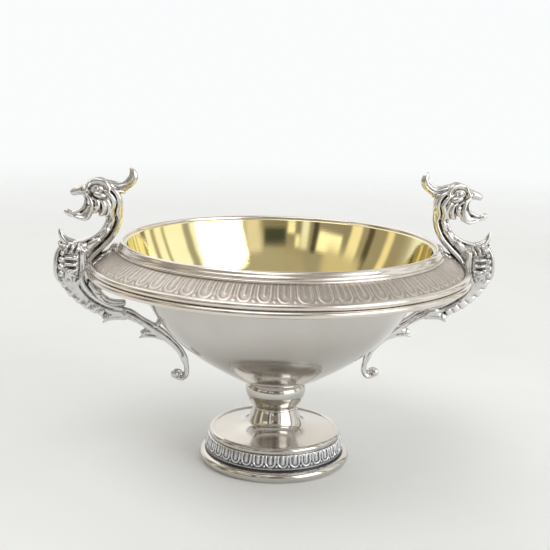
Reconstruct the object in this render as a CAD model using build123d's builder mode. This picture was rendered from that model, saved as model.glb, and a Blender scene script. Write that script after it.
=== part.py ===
from build123d import *
import math
import os

# A footed silver sugar bowl with a gilt inside and two cast griffin handles.
# Millimetres, +Z up, origin at the centre of the foot's underside, handles along X.

# ---- driving dimensions ----------------------------------------------------------------
SHEET = 1.0  # thickness of the bowl's and the foot's sheet silver
GILDING = 0.2  # thickness given to the gilded inner face
PRESS = 0.1  # how far an applied ornament starts below the surface that it sits on

# bowl: (radius, height) of points on its outer face, from the axis up to the mouth
BOWL_OUTLINE = [
    (0, 27.2),
    (9.9, 28.5),
    (19, 32.9),
    (29, 39.3),
    (38, 47),
    (45.5, 57.4),
    (51, 70),
    (55.6, 80),
]
BOWL_TOP_Z = 78.2

# mouth and overhanging border
LIP_INNER_R = 54.0
LIP_OUTER_R = 56.4
LIP_TOP_Z = 79.3
LIP_SKIRT_Z = 76.9
LIP_ROUNDING = 1.1
LIP_WIRE_R, LIP_WIRE_Z, LIP_WIRE_RADIUS = 56.5, 76.4, 0.5
BORDER_TOP = (56.6, 76.1)  # upper edge of the slanted border band
BORDER_FOOT = (63.9, 71.3)  # lower edge of the slanted border band
BORDER_THICKNESS = 1.0
UPPER_GIRDLE = (65.1, 70.95, 1.05)  # radius, height, wire radius
LOWER_GIRDLE = (65.35, 68.75, 1.15)
UNDER_COLLAR_OUTER = (64.6, 68.6)
UNDER_COLLAR_INNER = (50.4, 69.6)
UNDER_COLLAR_THICKNESS = 0.8

# ornament on the border and on the foot: tongues with a rib inside and a dot between two
RIM_TONGUES = 64
FOOT_TONGUES = 36
RIM_RELIEF = 0.45
FOOT_RELIEF = 0.35

# foot and stem
BASE_WIRE = (25.1, 1.65, 1.85)  # radius, height, wire radius; its underside is flat at z = 0
PLINTH_INNER_R, PLINTH_OUTER_R = 23.4, 24.7
PLINTH_Z = (2.4, 4.8)
FOOT_BAND_TOP = (23.75, 9.0)
FOOT_BAND_FOOT = (24.6, 4.8)
FOOT_EDGE_WIRE = (22.3, 9.95, 1.35)
FOOT_OUTLINE = [(22.4, 11.0), (16, 11.6), (12, 12.4), (9.6, 13.9), (8.6, 16.1), (8.0, 18.0), (7.75, 19.0)]
WAIST_WIRE = (7.5, 19.0, 0.5)
KNOP_OUTLINE = [(7.75, 19.0), (8.7, 20.2), (9.9, 22.4), (10.65, 25.0), (10.5, 27.2), (9.8, 28.9)]

# griffin handle: stations down its middle line, each
# (distance from the axis, height, heading in degrees, half depth, half thickness)
NECK = [
    (57.0, 87.6, -84, 2.5, 2.0),
    (57.5, 84.8, -74, 2.4, 2.0),
    (59.2, 81.6, -58, 2.5, 2.2),
    (62.7, 77.9, -46, 2.8, 2.5),
    (66.6, 75.4, -42, 3.6, 3.2),
]
BREAST = [
    NECK[-1],
    (70.6, 72.8, -62, 4.9, 4.0),
    (71.9, 68.6, -96, 4.9, 4.2),
    (70.6, 64.6, -114, 4.5, 3.7),
]
BELLY = [
    BREAST[-1],
    (68.4, 61.2, -128, 3.8, 3.0),
    (65.2, 58.0, -142, 3.0, 2.6),
    (61.0, 55.3, -154, 2.5, 2.3),
    (56.8, 53.6, -158, 2.3, 2.1),
]
TAIL = [
    BELLY[-1],
    (52.8, 52.7, -158, 2.0, 1.9),
    (48.6, 50.5, -148, 1.7, 1.7),
    (44.2, 47.6, -146, 1.8, 1.6),
    (40.0, 44.7, -142, 1.7, 1.4),
    (36.6, 41.8, -137, 1.3, 1.2),
    (34.0, 39.0, -124, 1.1, 1.1),
    (32.4, 35.8, -104, 1.0, 1.0),
]
TAIL_CURL = [(31.8, 33.2), (32.5, 30.8), (34.6, 29.6)]
TAIL_CURL_RADIUS = 0.95
TAIL_BALL = (35.9, 31.1, 1.9)  # distance, height, radius

SKULL = [
    (54.8, 91.6, 0, 3.8, 2.0),
    (57.2, 92.2, 0, 5.6, 2.9),
    (60.6, 93.3, 0, 6.5, 3.3),
    (63.6, 93.5, 0, 6.1, 3.0),
    (65.4, 93.4, 0, 4.4, 2.2),
]
BEAK = [
    (62.8, 96.8, -14, 3.0, 2.6),
    (66.2, 96.3, -18, 2.2, 2.1),
    (68.8, 95.6, -20, 1.3, 1.4),
    (70.6, 95.0, -24, 0.9, 1.0),
    (71.5, 94.6, -30, 0.25, 0.25),
]
LOWER_JAW = [
    (64.0, 90.6, -56, 2.2, 2.0),
    (66.4, 88.0, -38, 2.1, 1.8),
    (69.0, 87.2, 2, 1.3, 1.5),
    (71.4, 87.6, 16, 1.0, 1.2),
    (73.4, 88.5, 28, 0.5, 0.5),
]
EYE = (63.2, 96.7, 1.15)  # distance, height, radius
EYE_OFFSETS = (-2.6, 2.6)
CREST = [
    (59.4, 97.5, 184, 2.0, 1.8),
    (55.4, 97.2, 170, 1.8, 1.6),
    (52.4, 98.1, 142, 1.5, 1.3),
    (50.6, 99.7, 114, 1.3, 1.1),
    (50.2, 101.3, 84, 0.9, 0.8),
    (51.1, 103.0, 56, 0.3, 0.3),
]
SPUR = [
    (71.6, 76.6, 24, 1.9, 1.5),
    (73.6, 78.2, 50, 1.2, 1.1),
    (74.8, 80.0, 72, 0.7, 0.7),
    (75.3, 81.9, 78, 0.25, 0.25),
]
STRAP_OUTER = [(75.4, 76.4), (77.6, 70.4), (76.0, 64.0)]  # ends and middle of an arc
STRAP_DEPTH = 1.6
STRAP_HALF_WIDTH = 2.2
BEADS = [(73.9, 74.3), (74.5, 72.0), (74.6, 69.6), (74.3, 67.3)]
BEAD_RADIUS = 1.0
BEAD_OFFSET = 3.3
SCUTE_EDGES = [(75.7, 64.6), (73.8, 61.8), (71.1, 59.0), (68.3, 56.4), (65.6, 54.6), (62.6, 53.0)]
SCUTE_DEPTH = 2.2
SCUTE_BULGE = 0.5
SCUTE_HALF_WIDTH = 2.3
UPPER_BARB = [(54.8, 50.4), (57.8, 50.4), (60.9, 49.6), (61.5, 52.0), (60.0, 54.0), (56.0, 52.6)]
LOWER_BARB = [(41.6, 43.4), (45.6, 44.3), (48.5, 44.3), (47.6, 47.4), (45.0, 48.0), (41.6, 46.2)]
BARB_HALF_THICKNESS = 1.5
LEAF_SCROLL = [
    (52.6, 55.0),
    (52.6, 58.1),
    (57.2, 58.2),
    (60.6, 59.1),
    (62.6, 62.0),
    (64.6, 63.4),
    (66.2, 61.4),
    (61.0, 55.6),
]
LEAF_HALF_THICKNESS = 2.1
TAIL_PAD = [(40.1, 47.4), (43.6, 49.2), (43.0, 52.2), (40.6, 50.6)]
PAD_HALF_THICKNESS = 1.3
RIM_LUG = [(62.4, 65.6), (65.0, 63.6), (68.4, 65.0), (68.4, 72.4), (65.6, 73.4), (63.6, 72.2), (64.4, 69.0)]
LUG_HALF_THICKNESS = 2.4
PALMETTE_HALF_WIDTH = 4.6
PALMETTE_RELIEF = 1.0
PALMETTE_POINT = 0.9  # how far its tip stands past the border's upper edge

os.makedirs("parts", exist_ok=True)


# ---- helpers ---------------------------------------------------------------------------
def save(builder, name):
    """Labels a finished piece with its name and writes it."""
    builder.part.label = name
    export_step(builder.part, f"parts/{name}.step")


def save_pair(builder, name):
    """Writes a piece of the right handle, and its copy half a turn round for the left handle."""
    save(builder, f"right_{name}")
    with BuildPart() as copy:
        add(builder.part.rotate(Axis.Z, 180))
    save(copy, f"left_{name}")


def inward(points, distance):
    """The points of an outline moved square to it, towards the axis and up."""
    moved = []
    for i, (r, z) in enumerate(points):
        before = points[max(i - 1, 0)]
        after = points[min(i + 1, len(points) - 1)]
        run = after[0] - before[0]
        rise = after[1] - before[1]
        length = math.hypot(run, rise)
        moved.append((max(r - distance * rise / length, 0) if r else 0, z + distance * run / length))
    return moved


def turned_wall(outer, inner):
    """Turns a wall about the axis, between two outlines."""
    with BuildSketch(Plane.XZ) as section:
        with BuildLine():
            outer_line = Spline(*outer)
            inner_line = Spline(*inner)
            Line(outer_line @ 0, inner_line @ 0)
            Line(outer_line @ 1, inner_line @ 1)
        make_face()
    revolve(section.sketch, axis=Axis.Z)


def turned_wire(radius, height, wire_radius):
    """Turns a round wire into a ring about the axis."""
    with BuildSketch(Plane.XZ) as section:
        with Locations((radius, height)):
            Circle(wire_radius)
    revolve(section.sketch, axis=Axis.Z)


def turned_strip(top, bottom, thickness):
    """Turns a straight strip about the axis, its thickness on the side nearer the axis."""
    run = bottom[0] - top[0]
    rise = bottom[1] - top[1]
    length = math.hypot(run, rise)
    inset = (rise / length * thickness, -run / length * thickness)
    with BuildSketch(Plane.XZ) as section:
        with BuildLine():
            Polyline(
                top,
                bottom,
                (bottom[0] + inset[0], bottom[1] + inset[1]),
                (top[0] + inset[0], top[1] + inset[1]),
                close=True,
            )
        make_face()
    revolve(section.sketch, axis=Axis.Z)


def cut_back(*neighbours):
    """Takes the neighbours' solids out of the active part, so that faces meet."""
    for neighbour in neighbours:
        add(neighbour.part, mode=Mode.SUBTRACT)


def slope_plane(top, bottom, turn=0):
    """The plane touching a slanted band halfway down: local x runs round it, local y up it."""
    run = top[0] - bottom[0]
    rise = top[1] - bottom[1]
    middle = ((top[0] + bottom[0]) / 2, (top[1] + bottom[1]) / 2)
    angle = math.radians(turn)
    outward = Vector(math.cos(angle), math.sin(angle), 0)
    around = Vector(-math.sin(angle), math.cos(angle), 0)
    normal = outward * rise + Vector(0, 0, -run)
    return Plane(origin=outward * middle[0] + Vector(0, 0, middle[1]), x_dir=around, z_dir=normal)


def tongue_face(half_width, top, tip, mode=Mode.ADD):
    """A tongue on the active sketch: straight sides and a round end pointing down the slope."""
    bend = tip + half_width * 1.2
    with BuildLine() as outline:
        Line((-half_width, top), (-half_width, bend))
        ThreePointArc((-half_width, bend), (0, tip), (half_width, bend))
        Line((half_width, bend), (half_width, top))
        Line((half_width, top), (-half_width, top))
    make_face(outline.edges(), mode=mode)


def patterned(piece, name, count, skipped_half_angle=0):
    """Repeats one ornament round the axis as separate solids, leaving room at the handles."""
    with BuildPart() as ring:
        for i in range(count):
            turn = 360 * (i + 0.5) / count
            from_handle = abs((turn + 90) % 180 - 90)
            if from_handle > skipped_half_angle:
                add(piece.part.rotate(Axis.Z, turn))
    save(ring, name)


def ornament(name, count, top, bottom, relief, backing, skipped_half_angle=0):
    """Writes the tongues, their ribs and the dots of one slanted band."""
    slope = math.hypot(top[0] - bottom[0], top[1] - bottom[1])
    pitch = math.pi * (top[0] + bottom[0]) / count
    plane = slope_plane(top, bottom).offset(-PRESS)
    tip = -0.43 * slope
    upper = 0.44 * slope
    half_width = 0.36 * pitch
    bar = 0.11 * pitch

    with BuildPart() as tongue:
        with BuildSketch(plane):
            tongue_face(half_width, upper, tip)
            tongue_face(half_width - bar, upper, tip + bar * 1.4, mode=Mode.SUBTRACT)
        extrude(amount=PRESS + relief)
        cut_back(backing)
    patterned(tongue, f"{name}_tongues", count, skipped_half_angle)

    with BuildPart() as rib:
        with BuildSketch(plane):
            tongue_face(bar, upper, tip + bar * 4)
        extrude(amount=PRESS + 0.8 * relief)
        cut_back(backing)
    patterned(rib, f"{name}_ribs", count, skipped_half_angle)

    half_pitch_turn = 180 / count
    dot_plane = slope_plane(top, bottom, half_pitch_turn)
    dot_radius = 0.13 * pitch
    with BuildPart() as dot:
        with Locations(dot_plane.from_local_coords((0, tip + dot_radius, 0))):
            Sphere(dot_radius)
        cut_back(backing)
    patterned(dot, f"{name}_dots", count, skipped_half_angle)


def body_through(stations):
    """Lofts a rounded body through elliptical stations in the handle's middle plane."""
    sections = []
    for distance, height, heading, half_depth, half_thickness in stations:
        angle = math.radians(heading)
        ahead = (math.cos(angle), 0, math.sin(angle))
        across = (-math.sin(angle), 0, math.cos(angle))
        with BuildSketch(Plane(origin=(distance, 0, height), x_dir=across, z_dir=ahead)) as section:
            Ellipse(half_depth, half_thickness)
        sections.append(section.sketch)
    loft(sections)


def plate(outline, half_thickness, rounded=True):
    """Extrudes an outline to both sides of the handle's middle plane."""
    with BuildSketch(Plane.XZ) as section:
        with BuildLine():
            if rounded:
                Spline(*outline, periodic=True)
            else:
                Polyline(*outline, close=True)
        make_face()
    extrude(section.sketch, amount=half_thickness, both=True)


# ---- foot and stem ---------------------------------------------------------------------
with BuildPart() as foot_base_ring:
    turned_wire(*BASE_WIRE)
    split(bisect_by=Plane.XY, keep=Keep.TOP)
save(foot_base_ring, "foot_base_ring")

with BuildPart() as foot_plinth:
    with BuildSketch(Plane.XZ):
        with Locations(((PLINTH_INNER_R + PLINTH_OUTER_R) / 2, sum(PLINTH_Z) / 2)):
            Rectangle(PLINTH_OUTER_R - PLINTH_INNER_R, PLINTH_Z[1] - PLINTH_Z[0])
    revolve(axis=Axis.Z)
    cut_back(foot_base_ring)
save(foot_plinth, "foot_plinth")

with BuildPart() as foot_edge_wire:
    turned_wire(*FOOT_EDGE_WIRE)
save(foot_edge_wire, "foot_edge_wire")

with BuildPart() as foot_band:
    turned_strip(FOOT_BAND_TOP, FOOT_BAND_FOOT, SHEET)
    cut_back(foot_plinth, foot_edge_wire)
save(foot_band, "foot_band")

ornament("foot_band", FOOT_TONGUES, FOOT_BAND_TOP, FOOT_BAND_FOOT, FOOT_RELIEF, foot_band)

with BuildPart() as waist_wire:
    turned_wire(*WAIST_WIRE)
save(waist_wire, "waist_wire")

with BuildPart() as foot_shell:
    turned_wall(FOOT_OUTLINE, [(r - 0.7 * SHEET, z - SHEET) for r, z in FOOT_OUTLINE])
    cut_back(foot_edge_wire, waist_wire)
save(foot_shell, "foot_shell")

# ---- bowl ------------------------------------------------------------------------------
with BuildPart() as bowl_shell:
    turned_wall(BOWL_OUTLINE, inward(BOWL_OUTLINE, SHEET))
    split(bisect_by=Plane.XY.offset(BOWL_TOP_Z), keep=Keep.BOTTOM)
save(bowl_shell, "bowl_shell")

with BuildPart() as gilt_lining:
    turned_wall(inward(BOWL_OUTLINE, SHEET), inward(BOWL_OUTLINE, SHEET + GILDING))
    split(bisect_by=Plane.XY.offset(BOWL_TOP_Z), keep=Keep.BOTTOM)
save(gilt_lining, "gilt_lining")

with BuildPart() as stem_knop:
    turned_wall(KNOP_OUTLINE, [(r - SHEET, z) for r, z in KNOP_OUTLINE])
    cut_back(bowl_shell, waist_wire, foot_shell)
save(stem_knop, "stem_knop")

# ---- mouth and border ------------------------------------------------------------------
with BuildPart() as lip_moulding:
    with BuildSketch(Plane.XZ):
        with BuildLine():
            Polyline(
                (LIP_INNER_R, BOWL_TOP_Z),
                (LIP_INNER_R, LIP_TOP_Z),
                (LIP_OUTER_R, LIP_TOP_Z),
                (LIP_OUTER_R, LIP_SKIRT_Z),
                (LIP_OUTER_R - SHEET, LIP_SKIRT_Z),
                (LIP_OUTER_R - SHEET, BOWL_TOP_Z),
                close=True,
            )
        make_face()
        fillet(vertices().group_by(Axis.Y)[-1].sort_by(Axis.X)[-1], LIP_ROUNDING)
        fillet(vertices().group_by(Axis.Y)[-1].sort_by(Axis.X)[0], LIP_ROUNDING / 3)
    revolve(axis=Axis.Z)
    cut_back(bowl_shell)
save(lip_moulding, "lip_moulding")

with BuildPart() as lip_wire:
    turned_wire(LIP_WIRE_R, LIP_WIRE_Z, LIP_WIRE_RADIUS)
    cut_back(lip_moulding)
save(lip_wire, "lip_wire")

with BuildPart() as upper_girdle_wire:
    turned_wire(*UPPER_GIRDLE)
save(upper_girdle_wire, "upper_girdle_wire")

with BuildPart() as lower_girdle_wire:
    turned_wire(*LOWER_GIRDLE)
    cut_back(upper_girdle_wire)
save(lower_girdle_wire, "lower_girdle_wire")

with BuildPart() as border_band:
    turned_strip(BORDER_TOP, BORDER_FOOT, BORDER_THICKNESS)
    cut_back(lip_moulding, lip_wire, upper_girdle_wire, bowl_shell)
save(border_band, "border_band")

with BuildPart() as under_collar:
    turned_strip(UNDER_COLLAR_INNER, UNDER_COLLAR_OUTER, -UNDER_COLLAR_THICKNESS)
    cut_back(bowl_shell, lower_girdle_wire, upper_girdle_wire)
save(under_collar, "under_collar")

palmette_half_angle = math.degrees(PALMETTE_HALF_WIDTH / BORDER_FOOT[0])
ornament("border", RIM_TONGUES, BORDER_TOP, BORDER_FOOT, RIM_RELIEF, border_band, palmette_half_angle)

# ---- griffin handles: the right one's pieces, each written for both sides ----------------
with BuildPart() as neck:
    body_through(NECK)
save_pair(neck, "neck")

with BuildPart() as breast:
    body_through(BREAST)
    cut_back(upper_girdle_wire, lower_girdle_wire)
save_pair(breast, "breast")

with BuildPart() as belly:
    body_through(BELLY)
save_pair(belly, "belly")

with BuildPart() as tail:
    body_through(TAIL)
    cut_back(bowl_shell)
save_pair(tail, "tail")

with BuildPart() as tail_curl:
    with BuildLine(Plane.XZ) as curl_path:
        Spline(TAIL[-1][:2], *TAIL_CURL)
    with BuildSketch(Plane(origin=curl_path.line @ 0, z_dir=curl_path.line % 0)):
        Circle(TAIL_CURL_RADIUS)
    sweep()
    with Locations((TAIL_BALL[0], 0, TAIL_BALL[1])):
        Sphere(TAIL_BALL[2])
    cut_back(tail)
save_pair(tail_curl, "tail_curl")

with BuildPart() as head:
    body_through(SKULL)
    body_through(BEAK)
    with Locations(*[(EYE[0], y, EYE[1]) for y in EYE_OFFSETS]):
        Sphere(EYE[2])
    cut_back(neck)
save_pair(head, "head")

with BuildPart() as lower_jaw:
    body_through(LOWER_JAW)
    cut_back(head)
save_pair(lower_jaw, "lower_jaw")

with BuildPart() as crest:
    body_through(CREST)
    cut_back(head, neck)
save_pair(crest, "crest")

with BuildPart() as breast_spur:
    body_through(SPUR)
    cut_back(breast, neck)
save_pair(breast_spur, "breast_spur")

strap_back = [(distance - STRAP_DEPTH, height) for distance, height in STRAP_OUTER]
with BuildPart() as breast_strap:
    with BuildSketch(Plane.XZ):
        with BuildLine():
            strap_outer = ThreePointArc(*STRAP_OUTER)
            strap_inner = ThreePointArc(*strap_back)
            Line(strap_outer @ 0, strap_inner @ 0)
            Line(strap_outer @ 1, strap_inner @ 1)
        make_face()
    extrude(amount=STRAP_HALF_WIDTH, both=True)
    cut_back(breast, breast_spur, belly)
save_pair(breast_strap, "breast_strap")

with BuildPart() as breast_beads:
    for bead_x, bead_z in BEADS:
        with Locations((bead_x, -BEAD_OFFSET, bead_z), (bead_x, BEAD_OFFSET, bead_z)):
            Sphere(BEAD_RADIUS)
    cut_back(breast, breast_strap, breast_spur)
save_pair(breast_beads, "breast_beads")

# the belly's overlapping scutes, each a bulging plate on its outer edge
with BuildPart() as belly_scutes:
    for start, end in zip(SCUTE_EDGES, SCUTE_EDGES[1:]):
        scute_run = end[0] - start[0]
        scute_rise = end[1] - start[1]
        scute_length = math.hypot(scute_run, scute_rise)
        inner = (scute_rise / scute_length, -scute_run / scute_length)
        crown_x = (start[0] + end[0]) / 2 - inner[0] * SCUTE_BULGE
        crown_z = (start[1] + end[1]) / 2 - inner[1] * SCUTE_BULGE
        with BuildSketch(Plane.XZ):
            with BuildLine():
                ThreePointArc(start, (crown_x, crown_z), end)
                Polyline(
                    end,
                    (end[0] + inner[0] * SCUTE_DEPTH, end[1] + inner[1] * SCUTE_DEPTH),
                    (start[0] + inner[0] * SCUTE_DEPTH, start[1] + inner[1] * SCUTE_DEPTH),
                    start,
                )
            make_face()
        extrude(amount=SCUTE_HALF_WIDTH, both=True)
    cut_back(belly, breast, breast_strap)
save_pair(belly_scutes, "belly_scutes")

with BuildPart() as upper_barb:
    plate(UPPER_BARB, BARB_HALF_THICKNESS)
    cut_back(belly, tail, belly_scutes)
save_pair(upper_barb, "upper_barb")

with BuildPart() as lower_barb:
    plate(LOWER_BARB, BARB_HALF_THICKNESS)
    cut_back(tail)
save_pair(lower_barb, "lower_barb")

with BuildPart() as leaf_scroll:
    plate(LEAF_SCROLL, LEAF_HALF_THICKNESS, rounded=False)
    cut_back(belly, breast, tail)
save_pair(leaf_scroll, "leaf_scroll")

with BuildPart() as tail_pad:
    plate(TAIL_PAD, PAD_HALF_THICKNESS, rounded=False)
    cut_back(tail, bowl_shell)
save_pair(tail_pad, "tail_pad")

# a pointed leaf lying on the border band, from the girdle up to the lip
border_slope = math.hypot(BORDER_TOP[0] - BORDER_FOOT[0], BORDER_TOP[1] - BORDER_FOOT[1])
palmette_foot = -border_slope / 2
palmette_tip = (0, border_slope / 2 + PALMETTE_POINT)
with BuildPart() as rim_palmette:
    with BuildSketch(slope_plane(BORDER_TOP, BORDER_FOOT).offset(-PRESS)):
        with BuildLine():
            palmette_base = Line((-PALMETTE_HALF_WIDTH, palmette_foot), (PALMETTE_HALF_WIDTH, palmette_foot))
            Spline(palmette_base @ 0, (-PALMETTE_HALF_WIDTH * 0.8, border_slope * 0.1), palmette_tip)
            Spline(palmette_base @ 1, (PALMETTE_HALF_WIDTH * 0.8, border_slope * 0.1), palmette_tip)
        make_face()
    extrude(amount=PRESS + PALMETTE_RELIEF)
    cut_back(border_band, lip_wire, lip_moulding, upper_girdle_wire)
save_pair(rim_palmette, "rim_palmette")

with BuildPart() as rim_lug:
    plate(RIM_LUG, LUG_HALF_THICKNESS, rounded=False)
    cut_back(upper_girdle_wire, lower_girdle_wire, under_collar, border_band)
    cut_back(breast, neck, belly, leaf_scroll, rim_palmette)
save_pair(rim_lug, "rim_lug")
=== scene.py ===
import math

import bpy
import numpy as np
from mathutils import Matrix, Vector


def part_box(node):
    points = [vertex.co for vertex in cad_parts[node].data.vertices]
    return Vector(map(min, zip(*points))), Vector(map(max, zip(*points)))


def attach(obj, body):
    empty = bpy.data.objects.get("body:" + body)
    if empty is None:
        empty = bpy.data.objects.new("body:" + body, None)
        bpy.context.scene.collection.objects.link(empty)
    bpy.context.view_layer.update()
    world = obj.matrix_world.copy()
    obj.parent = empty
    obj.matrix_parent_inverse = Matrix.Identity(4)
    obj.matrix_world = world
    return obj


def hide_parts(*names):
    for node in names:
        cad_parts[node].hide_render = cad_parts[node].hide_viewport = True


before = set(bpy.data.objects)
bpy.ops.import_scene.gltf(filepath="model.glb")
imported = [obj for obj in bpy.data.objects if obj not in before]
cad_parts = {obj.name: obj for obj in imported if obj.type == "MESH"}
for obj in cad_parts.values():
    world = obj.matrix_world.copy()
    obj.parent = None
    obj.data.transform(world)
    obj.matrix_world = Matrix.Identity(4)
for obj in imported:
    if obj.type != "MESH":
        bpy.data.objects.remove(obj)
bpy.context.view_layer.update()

import openvdb
from mathutils import Matrix, Vector

# A footed silver sugar bowl with a gilt inside and two cast griffin handles.
# Shapes are worked out in millimetres in the frame's axes and turned into metres as meshes.

MM = 0.001
CAMERA_HEIGHT = 0.14256       # m above the floor
CAMERA_BACK = 0.35846         # m from the bowl's axis
CAMERA_ROUND = -7.54          # degrees round the bowl, from straight in front of the handles' plane
CAMERA_PAN = 0.226            # degrees, to the left
CAMERA_DOWN = 11.943          # degrees
CAMERA_ROLL = 1.717           # degrees
CAMERA_LENS = 68.44           # mm, on a 36 mm sensor

SEGMENTS = 384                # round a turned piece
RIM_SEGMENTS = 512            # round the widest ones
VOXEL = 0.14                  # mm, lattice step of the sculpted handle
REACH = 1.2                   # mm, how far from a surface its distances are kept


# ---- meshes ----
def mesh_piece(name, points, quads, triangles=(), cavity=None):
    """A smooth-shaded object from points in mm, and quads and triangles of their numbers."""
    mesh = bpy.data.meshes.new(name)
    mesh.vertices.add(len(points))
    mesh.vertices.foreach_set("co", (np.asarray(points) * MM).astype(np.float32).ravel())
    quads = np.asarray(quads, np.int32).reshape(-1, 4)
    triangles = np.asarray(triangles, np.int32).reshape(-1, 3)
    corners = np.concatenate([quads.ravel(), triangles.ravel()])
    starts = np.concatenate([np.arange(len(quads)) * 4, len(quads) * 4 + np.arange(len(triangles)) * 3])
    mesh.loops.add(len(corners))
    mesh.loops.foreach_set("vertex_index", corners)
    mesh.polygons.add(len(starts))
    mesh.polygons.foreach_set("loop_start", starts.astype(np.int32))
    mesh.update(calc_edges=True)
    mesh.polygons.foreach_set("use_smooth", np.ones(len(starts), bool))
    if cavity is not None:
        layer = mesh.attributes.new("cavity", "FLOAT", "POINT")
        layer.data.foreach_set("value", np.asarray(cavity, np.float32))
    piece = bpy.data.objects.new(name, mesh)
    bpy.context.scene.collection.objects.link(piece)
    return piece


def dress(piece, slot, material, *nodes):
    """Gives a piece its finish, hangs it under the root body and hides the CAD nodes that it stands for; slot
    is not used.
    """
    piece.data.materials.append(material)
    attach(piece, "root")
    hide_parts(*nodes)


def spline(points, spacing):
    """A natural cubic spline through the points, sampled about every spacing."""
    p = np.array(points, float)
    s = np.concatenate([[0], np.cumsum(np.linalg.norm(np.diff(p, axis=0), axis=1))])
    h = np.diff(s)
    n = len(p)
    a = np.eye(n)
    b = np.zeros_like(p)
    for i in range(1, n - 1):
        a[i, i - 1:i + 2] = h[i - 1], 2 * (h[i - 1] + h[i]), h[i]
        b[i] = 6 * ((p[i + 1] - p[i]) / h[i] - (p[i] - p[i - 1]) / h[i - 1])
    m = np.linalg.solve(a, b)
    t = np.linspace(0, s[-1], max(int(s[-1] / spacing), 2) + 1)
    k = np.clip(np.searchsorted(s, t, "right") - 1, 0, n - 2)
    u, v, w = (t - s[k])[:, None], (s[k + 1] - t)[:, None], h[k][:, None]
    curve = (m[k] * v**3 + m[k + 1] * u**3) / (6 * w)
    return curve + (p[k] / w - m[k] * w / 6) * v + (p[k + 1] / w - m[k + 1] * w / 6) * u


def arc(centre, radius, start, end, steps=24):
    """Points on an arc of a section, angles in degrees from outwards towards up."""
    t = np.radians(np.linspace(start, end, steps))
    return np.stack([centre[0] + radius * np.cos(t), centre[1] + radius * np.sin(t)], 1)


def offset(line, distance):
    """A section line moved square to itself, to its left as it runs."""
    d = np.gradient(line, axis=0)
    d /= np.linalg.norm(d, axis=1)[:, None]
    return line + distance * np.stack([-d[:, 1], d[:, 0]], 1)


def ring_quads(rows, segments, closed=True):
    """Quads between rings of points that follow each other, the last one back to the first if closed."""
    i, j = np.meshgrid(np.arange(rows if closed else rows - 1), np.arange(segments), indexing="ij")
    i2, j2 = (i + 1) % rows, (j + 1) % segments
    corners = [i * segments + j, i * segments + j2, i2 * segments + j2, i2 * segments + j]
    return np.stack(corners, 2).reshape(-1, 4)


def turned(name, section, segments=SEGMENTS):
    """Turns a section (radius, height), a closed loop or a line from the axis to the axis."""
    section = np.array(section, float)
    turn = np.arange(segments) * 2 * np.pi / segments
    poles = section[0, 0] < 1e-6
    rings = section[1:-1] if poles else section
    count = len(rings)
    points = np.stack([rings[:, None, 0] * np.cos(turn), rings[:, None, 0] * np.sin(turn),
                       np.broadcast_to(rings[:, None, 1], (count, segments))], 2).reshape(-1, 3)
    quads = ring_quads(count, segments, closed=not poles)
    triangles = []
    if poles:
        first, last = len(points), len(points) + 1
        points = np.vstack([points, [0, 0, section[0, 1]], [0, 0, section[-1, 1]]])
        row = np.arange(segments)
        after = (row + 1) % segments
        end = (count - 1) * segments
        triangles = np.vstack([np.stack([after, row, np.full(segments, first)], 1),
                               np.stack([end + row, end + after, np.full(segments, last)], 1)])
    return mesh_piece(name, points, quads, triangles)


def smooth_step(x):
    x = np.clip(x, 0, 1)
    return x * x * (3 - 2 * x)


def tongue_relief(across, along, pitch, length, style):
    """Height, from 0 to 1, of the struck lamb's-tongue ornament, in mm from its upper edge down."""
    half = style["half"] * pitch
    tip = length * style["tip"]
    shoulder = tip - style["point"] * half
    over = np.maximum(along - shoulder, 0) / (tip - shoulder)
    radial = np.sqrt((across / half) ** 2 + over**2)
    edge = (radial - 1) * half                       # distance outside the tongue's outline
    wire = style["wire"] * pitch
    outline = np.sqrt(np.maximum(1 - (edge / wire) ** 2, 0))
    body = style["body"] * smooth_step((-edge - 1.4 * wire) / (0.8 * wire))
    rib_end = shoulder + 0.1 * half
    rib_off = np.hypot(across, np.maximum(along - rib_end, 0))
    rib = style["rib"] * np.sqrt(np.maximum(1 - (rib_off / (1.1 * wire)) ** 2, 0))
    side = np.abs(across) - pitch / 2
    dot_r = style["dot"] * pitch
    dot = np.sqrt(np.maximum(1 - (side**2 + (along - tip + 0.5 * dot_r) ** 2) / dot_r**2, 0))
    dart = 0.45 * np.sqrt(np.maximum(1 - (side / (0.6 * wire)) ** 2, 0)) * (along < tip - 3.2 * dot_r)
    fade = smooth_step(along / (0.1 * length)) * smooth_step((length - along) / (0.04 * length))
    return np.maximum.reduce([outline, body, rib, dot, dart]) * fade


def box_blur(grid, rows, columns):
    """Averages over a window; columns go round, rows stop at the edges."""
    padded = np.pad(grid, ((rows, rows), (0, 0)), mode="edge")
    total = np.zeros_like(grid)
    for i in range(2 * rows + 1):
        total += padded[i:i + grid.shape[0]]
    grid = total / (2 * rows + 1)
    padded = np.pad(grid, ((0, 0), (columns, columns)), mode="wrap")
    total = np.zeros_like(grid)
    for j in range(2 * columns + 1):
        total += padded[:, j:j + grid.shape[1]]
    return total / (2 * columns + 1)


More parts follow.
